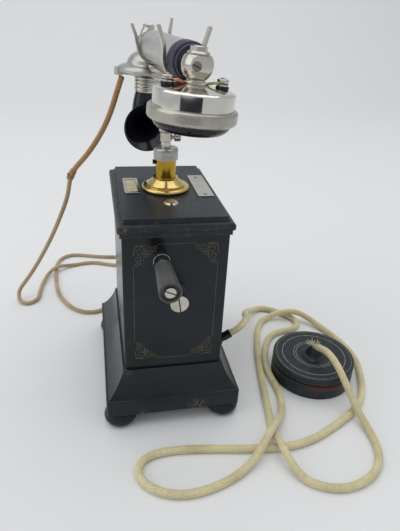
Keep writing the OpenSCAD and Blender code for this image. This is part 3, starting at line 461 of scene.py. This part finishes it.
def smooth_row(points):
    """A smooth profile through its points."""
    steps = 4
    p = [Vector(q) for q in points]
    p = [2 * p[0] - p[1]] + p + [2 * p[-1] - p[-2]]
    out = []
    for a, b, c, d in zip(p, p[1:], p[2:], p[3:]):
        for k in range(steps):
            t = k / steps
            out.append(tuple(0.5 * (2 * b + (c - a) * t + (2 * a - 5 * b + 4 * c - d) * t * t
                                    + (3 * b - a - 3 * c + d) * t ** 3)))
    return out + [points[-1]]


def joined(name, objects):
    """One mesh out of several, with all their materials."""
    with bpy.context.temp_override(active_object=objects[0], selected_editable_objects=objects):
        bpy.ops.object.join()
    objects[0].name = name
    return objects[0]


def softened(node, width):
    """A copy of a CAD node with its edges rounded over, which stands for the node."""
    mesh = frame["nodes"][node].data.copy()
    work = bmesh.new()
    work.from_mesh(mesh)
    bmesh.ops.remove_doubles(work, verts=work.verts, dist=2e-6)
    bmesh.ops.dissolve_limit(work, angle_limit=radians(0.6), verts=work.verts, edges=work.edges)
    for face in work.faces:
        face.smooth = True
    work.to_mesh(mesh)
    work.free()
    obj = link(bpy.data.objects.new(node + "_finished", mesh))
    bevel = obj.modifiers.new("edges", "BEVEL")
    bevel.width, bevel.segments = width, 2
    bevel.limit_method, bevel.angle_limit = "ANGLE", radians(28)
    bevel.use_clamp_overlap = True
    obj.modifiers.new("even_shading", "WEIGHTED_NORMAL").weight = 50
    done = bpy.data.meshes.new_from_object(obj.evaluated_get(bpy.context.evaluated_depsgraph_get()))
    obj.modifiers.clear()
    obj.data = done
    done.name = obj.name
    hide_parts(node)
    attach(obj, BODY[node])


def piece(obj, body, slot, *replaced):
    """Fastens a piece to its body and hides the CAD nodes that it replaces."""
    if replaced:
        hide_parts(*replaced)
    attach(obj, body)


# ---------------------------------------------------------------- cords

# The cords' routes from the case outwards, in mm
LINE_ROUTE = [
    (71, -22, 54), (80, -21, 59), (91, -9, 60), (105, 34, 39), (134, 86, 8), (153, 92, 3.8), (185, 61, 3.7),
    (178, 44, 3.7), (159, 39, 3.7), (138, 27, 3.7), (118.6, -18, 3.7), (116.8, -44, 3.7), (117.2, -70, 4),
    (107, -102, 8.5), (93, -120, 14.4), (79, -136, 13.5), (51.9, -158, 5), (-10.4, -171.8, 3.7),
    (-40.2, -147.5, 3.7), (-25.4, -128, 3.7), (94, -138, 3.7), (151, -124, 3.7), (197, -95, 3.7),
    (219.5, -56, 3.7), (228, -10, 3.8), (208, 48, 6), (183, 67, 13), (146, 68, 3.8), (122, 26, 3.7),
    (109, -25, 3.7), (95, -105, 3.7), (92, -122, 4.7), (92, -139, 11.9), (103, -174, 4.2), (140, -189, 3.7),
    (177, -171, 3.9), (188, -142, 4), (185, -110, 12.4), (173, -66, 43), (166.5, -36.5, 36),
]
HANDSET_ROUTE = [
    (-35, 93, 51), (-35, 101.5, 55.9), (-37, 113, 53), (-42, 124, 34), (-52, 125, 11), (-68, 117, 2.8),
    (-86, 116, 2.6), (-104, 129, 2.6), (-118, 153, 2.6), (-126, 182, 2.6), (-130, 226, 2.6),
    (-127, 266, 2.6), (-109, 283, 2.6), (-74, 276, 2.6), (-40, 270, 2.6), (-21, 266, 2.6),
    (-14, 255, 2.6), (-23, 244.5, 2.6), (-44, 243, 2.6), (-74, 254, 2.6), (-102, 250, 2.8),
    (-120, 242, 6), (-130, 233, 8.6), (-140, 219, 6), (-148, 186, 2.8), (-149, 168, 2.6),
    (-152, 154, 2.6), (-162, 147, 2.6), (-172, 152, 4), (-174, 163, 12), (-161, 162, 32), (-127, 145, 92),
    (-108, 134, 134), (-97, 127, 165), (-91, 124, 188), (-74, 113, 212), (-50, 100, 252), (-39, 93, 282),
    (-33.2, 89.3, 299.5),
]
LINE_CORD = 0.0074
HANDSET_CORD = 0.0052
SPLICE_Z = 0.188  # where the handset cord changes from one cotton to the other


def braided(name, route, diameter, strands, lay, step, material, thicker=None):
    """A braided cord: two sets of strands wind opposite ways round it and pass over and under each other.
    lay is the length of one full turn in diameters. thicker is (height, share): above that height the cord is
    thicker by that share."""
    line = curve_through(np.array(route) * MM, step)
    radius = diameter / 2
    line[:, 2] = np.maximum(line[:, 2], radius)
    side, up = frames_along(line)
    sides = strands * 4
    turn = np.arange(sides) / sides
    along = np.arange(len(line)) * step / (lay * diameter)
    one = turn[None, :] * strands + along[:, None] * strands
    other = turn[None, :] * strands - along[:, None] * strands
    over = (np.floor(one) + np.floor(other)) % 2
    crown = np.where(over < 1, np.sin(pi * (one % 1)), np.sin(pi * (other % 1)))
    relief = np.abs(crown) ** 0.7
    groove = 0.045 * diameter
    reach = radius - groove * (1 - relief)
    if thicker is not None:
        height, share = thicker
        reach *= 1 + share * np.clip((line[:, 2] - height) / (4 * MM), 0, 1)[:, None]
    around = turn * 2 * pi
    points = (line[:, None] + reach[..., None] * (np.cos(around)[None, :, None] * side[:, None]
                                                  + np.sin(around)[None, :, None] * up[:, None]))
    obj = mesh_object(name, points.reshape(-1, 3), ring_faces(len(line), sides, closed=True), material, 180)
    depth = obj.data.attributes.new("relief", "FLOAT", "POINT")
    depth.data.foreach_set("value", relief.astype(np.float32).ravel())
    corner = np.zeros(len(obj.data.loops), np.int32)
    obj.data.loops.foreach_get("vertex_index", corner)
    uv = np.stack([(corner % sides) / sides, (corner // sides) * step], axis=1)
    obj.data.uv_layers.new(name="along").data.foreach_set("uv", uv.astype(np.float32).ravel())
    return obj, line


line_cotton = braid("khaki_braid", (0.82, 0.75, 0.46), (0.6, 0.53, 0.3), (0.4, 0.33, 0.19), 8, 1.5)
tan_cotton = braid("tan_braid", (0.56, 0.43, 0.26), (0.35, 0.26, 0.145), (0.24, 0.165, 0.095), 6, 1.5,
                   upper=(SPLICE_Z, (0.53, 0.3, 0.14), (0.3, 0.16, 0.075)))

line_cord, line_path = braided("line_cord_braid", LINE_ROUTE, LINE_CORD, 8, 1.6, 0.9 * MM, line_cotton)
piece(line_cord, "case", "line_braid", "line_cord")

handset_cord, handset_path = braided("handset_cord_braid", HANDSET_ROUTE, HANDSET_CORD, 6, 1.6, 0.8 * MM,
                                     tan_cotton, thicker=(SPLICE_Z, 0.14))
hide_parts("handset_cord")
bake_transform(handset_cord)


def splice():
    """Where the handset cord's two cottons are bound together: close turns of thread and a small knot."""
    near = int(np.argmin(np.abs(handset_path[:, 2] - SPLICE_Z) + (handset_path[:, 2] < 0.1)))
    line = curve_through(handset_path[near - 9: near + 10: 3], 0.25 * MM)
    u = np.linspace(-1, 1, len(line))
    thread_turns = 13
    turns = np.abs(np.sin(u * thread_turns * pi / 2))
    radii = (2.9 + 0.75 * (1 - u ** 4) + 0.22 * turns) * MM
    binding = tube("binding", line, radii, 20, bound_thread)
    middle = line[len(line) // 2]
    swing = np.linspace(0, 2 * pi, 30)
    loop = [middle + np.array([-3.2 + 1.5 * cos(t), -1.8 + 1.1 * sin(2 * t), 1.7 * sin(t)]) * MM
            for t in swing]
    knot = tube("knot", loop, 0.8 * MM, 10, bound_thread)
    hanging = [middle + np.array(p) * MM for p in ((-3, -2, 0), (-5.2, -3, -2), (-5.6, -3, -5.5))]
    tail = tube("tail", curve_through(hanging, 0.5 * MM), 0.45 * MM, 8, bound_thread)
    return joined("cord_splice", [binding, knot, tail])


bound_thread = plain("bound_thread", (0.44, 0.29, 0.15), (0.28, 0.17, 0.08), 0.85, 400, relief=0.3)
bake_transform(splice())


# ---------------------------------------------------------------- finishes

rose_low, rose_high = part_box("rosette_lid")
rosette_centre = ((rose_low + rose_high) / 2).xy
rosette_rim = (rose_high.x - rose_low.x) / 2

black = lacquer("black_lacquer")
nickel = metal("nickel", (0.6, 0.575, 0.515), (0.44, 0.415, 0.36), 0.09, 0.24)
drum_nickel = metal("drum_nickel", (0.72, 0.7, 0.655), (0.62, 0.6, 0.555), 0.03, 0.1)
satin = metal("satin_nickel", (0.54, 0.53, 0.5), (0.44, 0.43, 0.405), 0.24, 0.4, brushed=(1, 1, 0.05))
brass = metal("brass", (0.68, 0.52, 0.2), (0.5, 0.37, 0.13), 0.12, 0.24, (0.22, 0.14, 0.05))
tube_brass = metal("tube_brass", (0.52, 0.33, 0.04), (0.34, 0.2, 0.024), 0.08, 0.2, (0.2, 0.12, 0.03))
ring_nickel = metal("ring_nickel", (0.46, 0.44, 0.385), (0.34, 0.325, 0.28), 0.2, 0.34)
worn_collar = metal("worn_collar", (0.42, 0.41, 0.4), (0.33, 0.325, 0.32), 0.2, 0.36)
ebonite = hard_rubber("ebonite", (0.006, 0.007, 0.014), (0.003, 0.004, 0.009), 0.08, 0.2, 0.06)
grip = hard_rubber("grip_rubber", (0.09, 0.092, 0.092), (0.055, 0.056, 0.057), 0.36, 0.52, 0.5)
# The violet-blue in these tones is painted sheen that stands in for blue light on the ribs' crests
ribbed = hard_rubber("ribbed_rubber", (0.034, 0.032, 0.07), (0.012, 0.011, 0.03), 0.14, 0.3, 0.2)
steel = metal("steel", (0.5, 0.5, 0.5), (0.38, 0.37, 0.36), 0.3, 0.5)
magnet = metal("magnet_steel", (0.12, 0.12, 0.13), (0.07, 0.07, 0.075), 0.4, 0.6)
winding = windings("winding", (0.08, 0.16, 0.07), (0.03, 0.06, 0.025))
tin = metal("tin", (0.45, 0.44, 0.4), (0.36, 0.34, 0.3), 0.35, 0.55)
card = ruled_card("card", *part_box("label_card"))
gold = worn_gold("gilt_paint")
# Near-black for screw slots: painted shade that stands in for the shadow inside them
slot_shade = plain("painted_slot_shade", (0.022, 0.02, 0.017), (0.01, 0.01, 0.01), 0.7)
dark_screw = metal("dark_screw", (0.26, 0.24, 0.21), (0.13, 0.12, 0.1), 0.25, 0.45)
red_copper = metal("copper_lead", (0.72, 0.34, 0.18), (0.55, 0.24, 0.12), 0.25, 0.4)
green_cotton = plain("green_lead", (0.5, 0.5, 0.2), (0.33, 0.34, 0.12), 0.7, 300)
loose_cotton = plain("loose_cotton", (0.62, 0.64, 0.5), (0.42, 0.44, 0.32), 0.9, 300, relief=0.2)

PLINTH_CHIPS = [((0.022, -0.0888, 0.019), 0.003, 0.012), ((-0.03, -0.0888, 0.017), 0.001, 0.006),
                ((-0.046, -0.075, 0.06), 0.002, 0.008)]
LID_CHIPS = [((-0.047, -0.076, 0.205), 0.002, 0.009)]
plinth_black = lacquer("plinth_lacquer", spots=PLINTH_CHIPS)
lid_black = lacquer("lid_lacquer", spots=LID_CHIPS, wear=0.8, dustiness=0.5)
rosette_black = lacquer("rosette_lacquer", paint=rosette_paint(rosette_centre, rosette_rim), wear=0.5,
                        dustiness=0.45)

FINISH = {"black_lacquer": black, "nickel": nickel, "satin_nickel": satin, "brass": brass, "ebonite": ebonite,
          "grip_rubber": grip, "ribbed_rubber": ribbed, "card": card, "steel": steel, "magnet_steel": magnet,
          "winding": winding, "tin": tin, "line_braid": line_cotton, "handset_braid": tan_cotton}

OWN_FINISH = {"base_plinth": plinth_black, "top_lid": lid_black, "rosette_lid": rosette_black,
              "rosette_base": rosette_black, "receiver_case": drum_nickel, "column_tube": tube_brass,
              "column_collar": worn_collar, "receiver_ring": ring_nickel}

for name, node in frame["nodes"].items():
    node.data.materials.clear()
    node.data.materials.append(OWN_FINISH.get(name, FINISH[SLOT[name]]))


# ---------------------------------------------------------------- finished pieces

# The handset's own frame: y along the handle, z up, at the handle's middle
HANDSET = (Matrix.Translation((0, 0, 331.5 * MM)) @ Matrix.Rotation(radians(4.3), 4, "Z")
           @ Matrix.Rotation(radians(4), 4, "Y"))
ALONG_HANDLE = HANDSET @ Matrix.Rotation(radians(-90), 4, "X")
EAR_Y, MOUTH_Y = -93, 91


def in_mm(points):
    return [(a * MM, b * MM) for a, b in points]


def at_handset(x, y):
    return HANDSET @ Matrix.Translation((x * MM, y * MM, 0))


def trumpet():
    """The horn: down from the neck, round a bend and out to a flared mouth, with a rolled rim."""
    outside = [(0, 9.4), (4, 10.2), (10, 11.2), (17.2, 11.9), (24, 12.0), (31, 12.05), (39.2, 12.2),
               (41, 13), (43, 14.4), (45.5, 16.5), (48.3, 19.2), (50.4, 21.6), (51.6, 22.9), (52.3, 23.5),
               (52.8, 23.6), (53, 23.2)]
    inside = [(52.9, 22.5), (52.2, 21.7), (50, 19.5), (47, 16.6), (44, 13.9), (41, 11.6), (38, 10.2),
              (28, 9.5), (17.2, 9.3), (10, 8.3), (0, 6.9)]
    top, drop, bend, sides = -46, 17.2, 14, 72
    arc_length = bend * pi / 2
    points = []
    for s, r in smooth_row(outside) + smooth_row(inside):
        a = min(max(s - drop, 0) / bend, pi / 2)
        centre = Vector((0, bend * cos(a) - bend - max(s - drop - arc_length, 0),
                         top - min(s, drop) - bend * sin(a)))
        up = Vector((0, cos(a), -sin(a)))
        for j in range(sides):
            t = 2 * pi * j / sides
            points.append(centre + r * (cos(t) * Vector((1, 0, 0)) + sin(t) * up))
    rings = len(points) // sides
    last = (rings - 1) * sides
    faces = ring_faces(rings, sides)
    faces += [(last + j, last + (j + 1) % sides, (j + 1) % sides, j) for j in range(sides)]
    obj = mesh_object("horn_trumpet", [p * MM for p in points], faces, ebonite, 60)
    obj.data.transform(at_handset(0, MOUTH_Y))
    return obj


def ribbed_grip():
    """Rounded ribs between the front ball and the sleeve, and the plain collar behind the sleeve."""
    front, back, count, core, valley = -80.5, -58.5, 6, 6, 11
    pitch = (back - front) / count
    ribs = [(core, front), (9.6, front), (10.4, front + 0.3)]
    for k in range(count):
        crest = 12.1 if k == 0 else 13.7
        for u in (-0.96, -0.82, -0.55, -0.2, 0.2, 0.55, 0.82, 0.96):
            ribs.append((valley + (crest - valley) * sqrt(1 - u * u), front + pitch * (k + 0.5 + u / 2)))
    ribs.append((core, back))
    collar = rounded([(core, 55), (13.1, 55), (13.1, 64), (core, 64)], 0.8)
    parts = [lathe("turned", in_mm(profile), ribbed, 96, ALONG_HANDLE, 50) for profile in (ribs, collar)]
    return joined("grip_ribs_and_collar", parts)


def terminal(side):
    """One of the receiver's posts: a black washer, a nut, a thin washer, a second nut and the stud's end."""
    place = at_handset(side * 19.5, EAR_Y)
    black_parts = [rounded([(0, -14.1), (4.7, -14.1), (4.7, -11.9), (0, -11.9)], 0.4),
                   rounded([(0, -10.5), (3.9, -10.5), (3.9, -9.9), (0, -9.9)], 0.2)]
    bright_parts = [rounded([(0, -11.9), (4.0, -11.9), (4.0, -10.5), (0, -10.5)], 0.3),
                    rounded([(0, -9.9), (4.1, -9.9), (4.1, -7.5), (3.4, -7.1), (0, -7.1)], 0.3),
                    rounded([(0, -7.2), (1.5, -7.2), (1.5, -6.3), (0, -6.1)], 0.3)]
    made = [lathe("washer", in_mm(p), ebonite, 40, place) for p in black_parts]
    made += [lathe("nut", in_mm(p), nickel, 40, place) for p in bright_parts]
    return made


def lead(side, material):
    """The wire between a post and the ball."""
    route = [(side * 16.5, -94.5, -10.2), (side * 13, -96.2, -9.9), (side * 10, -95.6, -10.6),
             (side * 7.6, -94, -11.2)]
    wire = tube("lead", curve_through(np.array(route) * MM, 0.4 * MM), 0.95 * MM, 12, material)
    wire.data.transform(HANDSET)
    return wire


def terminals():
    leads = [lead(-1, red_copper), lead(1, green_cotton)]
    return joined("terminal_posts", terminal(-1) + terminal(1) + leads)


def stroke(lines, width, front, thick, material):
    """Flat strokes that lie on the plane y = front, along lines of (x, z) points."""
    parts = []
    for line in lines:
        p = np.array(line, float) * MM
        ahead = np.gradient(p, axis=0)
        ahead /= np.linalg.norm(ahead, axis=1)[:, None]
        across = np.stack([-ahead[:, 1], ahead[:, 0]], axis=1) * width / 2
        points = []
        for left, right in zip(p + across, p - across):
            points += [(x, y, z) for (x, z), y in ((left, front - thick), (right, front - thick),
                                                   (right, front), (left, front))]
        parts.append(mesh_object("stroke", points, ring_faces(len(p), 4, closed=True), material))
    return parts


def curl(cx, cz, start_r, end_r, start, turn):
    """A spiral about (cx, cz) from one radius to the other, through turn degrees."""
    steps = 22
    out = []
    for k in range(steps + 1):
        r, angle = start_r + (end_r - start_r) * k / steps, radians(start + turn * k / steps)
        out.append((cx + r * cos(angle), cz + r * sin(angle)))
    return out


def front_lining():
    """A fine gilt line round the tower's front, with plain scrolls in its four corners.
    The line stops short of each corner by the gap."""
    half, low, high, gap = 36.6, 71.0, 190.3, 20
    plane, thick = -73.8 * MM, 0.06 * MM
    corner = [curl(5.5, 5.5, 4.6, 1.0, 225, 500), curl(12.6, 3.6, 3.4, 0.8, 180, -430),
              curl(3.6, 12.6, 3.4, 0.8, -90, 430), curl(10.4, 9.8, 2.8, 0.7, 200, 420),
              curl(18.4, 2.4, 2.2, 0.6, 190, -380), curl(2.4, 18.4, 2.2, 0.6, -100, 380)]
    sprigs = [[(1.2, 1.2), (3.0, 1.0), (6.5, 0.8), (10, 0.2)],
              [(7.5, 7.0), (9.4, 8.6), (12.4, 9.2), (15.4, 7.8)],
              [(14, 5.2), (16.4, 6.2), (19.6, 5.6)]]
    for sprig in sprigs:
        corner += [sprig, [(z, x) for x, z in sprig]]
    lines = []
    for sx in (-1, 1):
        for x, z, sz in ((sx * half, low, 1), (sx * half, high, -1)):
            lines += [[(x - sx * a, z + sz * b) for a, b in line] for line in corner]
    fine = [[(x, z) for x in np.linspace(gap - half, half - gap, 12)] for z in (low, high)]
    fine += [[(x, z) for z in np.linspace(low + gap, high - gap, 20)] for x in (-half, half)]
    return joined("front_lining", stroke(lines, 0.45 * MM, plane, thick, gold)
                  + stroke(fine, 0.4 * MM, plane, thick, gold))


def slot_shadow_strips():
    """Painted shade: near-black strips that stand for the shadow in the slots of the crank's two screws."""
    hub_front, grip_front = -96.0 * MM, -141.4 * MM
    hub_slot = [(1.17 - 0.39 * k, 137.04 + 2.49 * k) for k in range(7)]
    grip_slot = [(-18.9 + 1.22 * k, 186.1 - 0.57 * k) for k in range(7)]
    return joined("crank_slot_shadows", stroke([hub_slot], 1.05 * MM, hub_front, 0.4 * MM, slot_shade)
                  + stroke([grip_slot], 0.95 * MM, grip_front, 0.5 * MM, slot_shade))


def ball_screw():
    """The dark slotted screw in the pocket of the front ball."""
    pocket_depth = -10.4 * MM
    place = (at_handset(0, EAR_Y) @ Matrix.Rotation(radians(-17), 4, "Z")
             @ Matrix.Translation((0, pocket_depth, 0)) @ Matrix.Rotation(radians(20), 4, "Y")
             @ Matrix.Rotation(radians(90), 4, "X"))
    head = lathe("head", in_mm([(0, 0), (3.3, 0), (3.3, 1.0), (2.9, 1.25), (0, 1.35)]), dark_screw, 40, place)
    # The dark bar across the head is painted shade that stands for the screw's slot
    corners = [(x * MM, y * MM, z * MM) for z in (1.2, 1.42) for y in (-0.4, 0.4) for x in (-3, 3)]
    faces = [(0, 1, 3, 2), (4, 6, 7, 5), (0, 4, 5, 1), (2, 3, 7, 6), (0, 2, 6, 4), (1, 5, 7, 3)]
    slot = mesh_object("slot", corners, faces, slot_shade)
    slot.data.transform(place)
    return joined("ball_screw_finish", [head, slot])


def frayed_end():
    """Loose cotton where the line cord goes into the rosette's lid."""
    random = np.random.default_rng(5)
    mouth = np.array([165.6, -37.4, 39.0])
    hairs = []
    for _ in range(70):
        turn, lean = random.uniform(0, 2 * pi), random.uniform(0.15, 1.25)
        way = np.array([cos(turn) * sin(lean) - 0.25, sin(turn) * sin(lean) + 0.1, cos(lean)])
        root = mouth + np.array([cos(turn), sin(turn), 0]) * random.uniform(1.2, 4.2)
        length = random.uniform(3.0, 6.5)
        stray = random.uniform(-1.6, 1.6, 3)
        route = [root, root + way * length * 0.5 + stray * 0.4, root + way * length + stray]
        hairs.append(tube("hair", curve_through(np.array(route) * MM, 0.9 * MM), 0.28 * MM, 5, loose_cotton))
    return joined("frayed_end", hairs)


piece(trumpet(), "handset", "ebonite", "mouthpiece_horn")
piece(ribbed_grip(), "handset", "ribbed_rubber", "handle_grip")
piece(terminals(), "handset", "nickel", "receiver_terminals")
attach(front_lining(), "case")
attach(slot_shadow_strips(), "crank")
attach(ball_screw(), "handset")
piece(frayed_end(), "case", "line_braid")

# How wide each node's rounded edges are, in mm
SOFT = {"base_plinth": 0.9, "case_body": 0.8, "top_lid": 0.6, "feet": 0.5, "column_flange": 0.4,
        "name_plate": 0.35, "label_frame": 0.3, "crank_arm": 0.6, "crank_screws": 0.35, "crank_grip": 0.5,
        "cradle_hub": 0.4, "front_fork": 0.45, "rear_fork": 0.45, "knuckle_fasteners": 0.3,
        "receiver_case": 0.35, "rosette_base": 0.5, "rosette_lid": 0.4, "thumb_screw": 0.5,
        "column_collar": 0.4, "handle_sleeve": 0.4, "crank_bushing": 0.4}
for name, width in SOFT.items():
    softened(name, width * MM)


# ---------------------------------------------------------------- setting and light

def make_setting():
    """A pale seamless sheet that curves up behind the telephone, and a dark bar that the nickel reflects."""
    look = Look("paper", Roughness=0.8, Specular_IOR_Level=0.2)
    look.set("Base Color", look.mix(look.noise(0.9, 3), (0.78, 0.785, 0.79), (0.81, 0.815, 0.82)))
    bend_y, bend_r = 1.5, 1.1
    bend = [(bend_y + bend_r * sin(t), bend_r - bend_r * cos(t)) for t in np.linspace(0, pi / 2, 24)]
    rows = [(-3.0, 0.0)] + bend + [(bend_y + bend_r, 4.0)]
    points = [(x, y, z) for y, z in rows for x in (-4.0, 4.5)]
    faces = [(2 * i, 2 * i + 1, 2 * i + 3, 2 * i + 2) for i in range(len(rows) - 1)]
    mesh_object("paper_sweep", points, faces, look.material, 80)
    dark = Look("dark_bar", Roughness=0.8)
    dark.set("Base Color", (0.02, 0.02, 0.03))
    corners = [(x, -0.5, z) for z in (0.228, 0.272) for x in (-0.43, 0.09)]
    bar = mesh_object("dark_bar", corners, [(0, 1, 3, 2)], dark.material)
    bar.visible_camera = False


def area_light(name, place, target, size, power, colour):
    data = bpy.data.lights.new(name, "AREA")
    data.shape = "RECTANGLE"
    data.size, data.size_y = size
    data.energy = power
    data.color = colour
    lamp = link(bpy.data.objects.new(name, data))
    lamp.location = place
    lamp.rotation_euler = (Vector(target) - Vector(place)).to_track_quat("-Z", "Y").to_euler()


make_setting()
world = bpy.data.worlds.new("room")
world.use_nodes = True
sky = world.node_tree.nodes["Background"].inputs
sky["Color"].default_value = (0.95, 0.97, 1.0, 1)
sky["Strength"].default_value = 0.6
SCENE.world = world
area_light("overhead", (0.0, 0.3, 2.4), (0.05, 0.1, 0.0), (3.4, 2.6), 27, (1, 0.99, 0.97))
area_light("left_window", (-2.4, -0.4, 1.5), (0, 0, 0.2), (2.4, 2.4), 16, (0.97, 0.985, 1))
SCENE.view_settings.view_transform = "Standard"
SCENE.view_settings.look = "None"
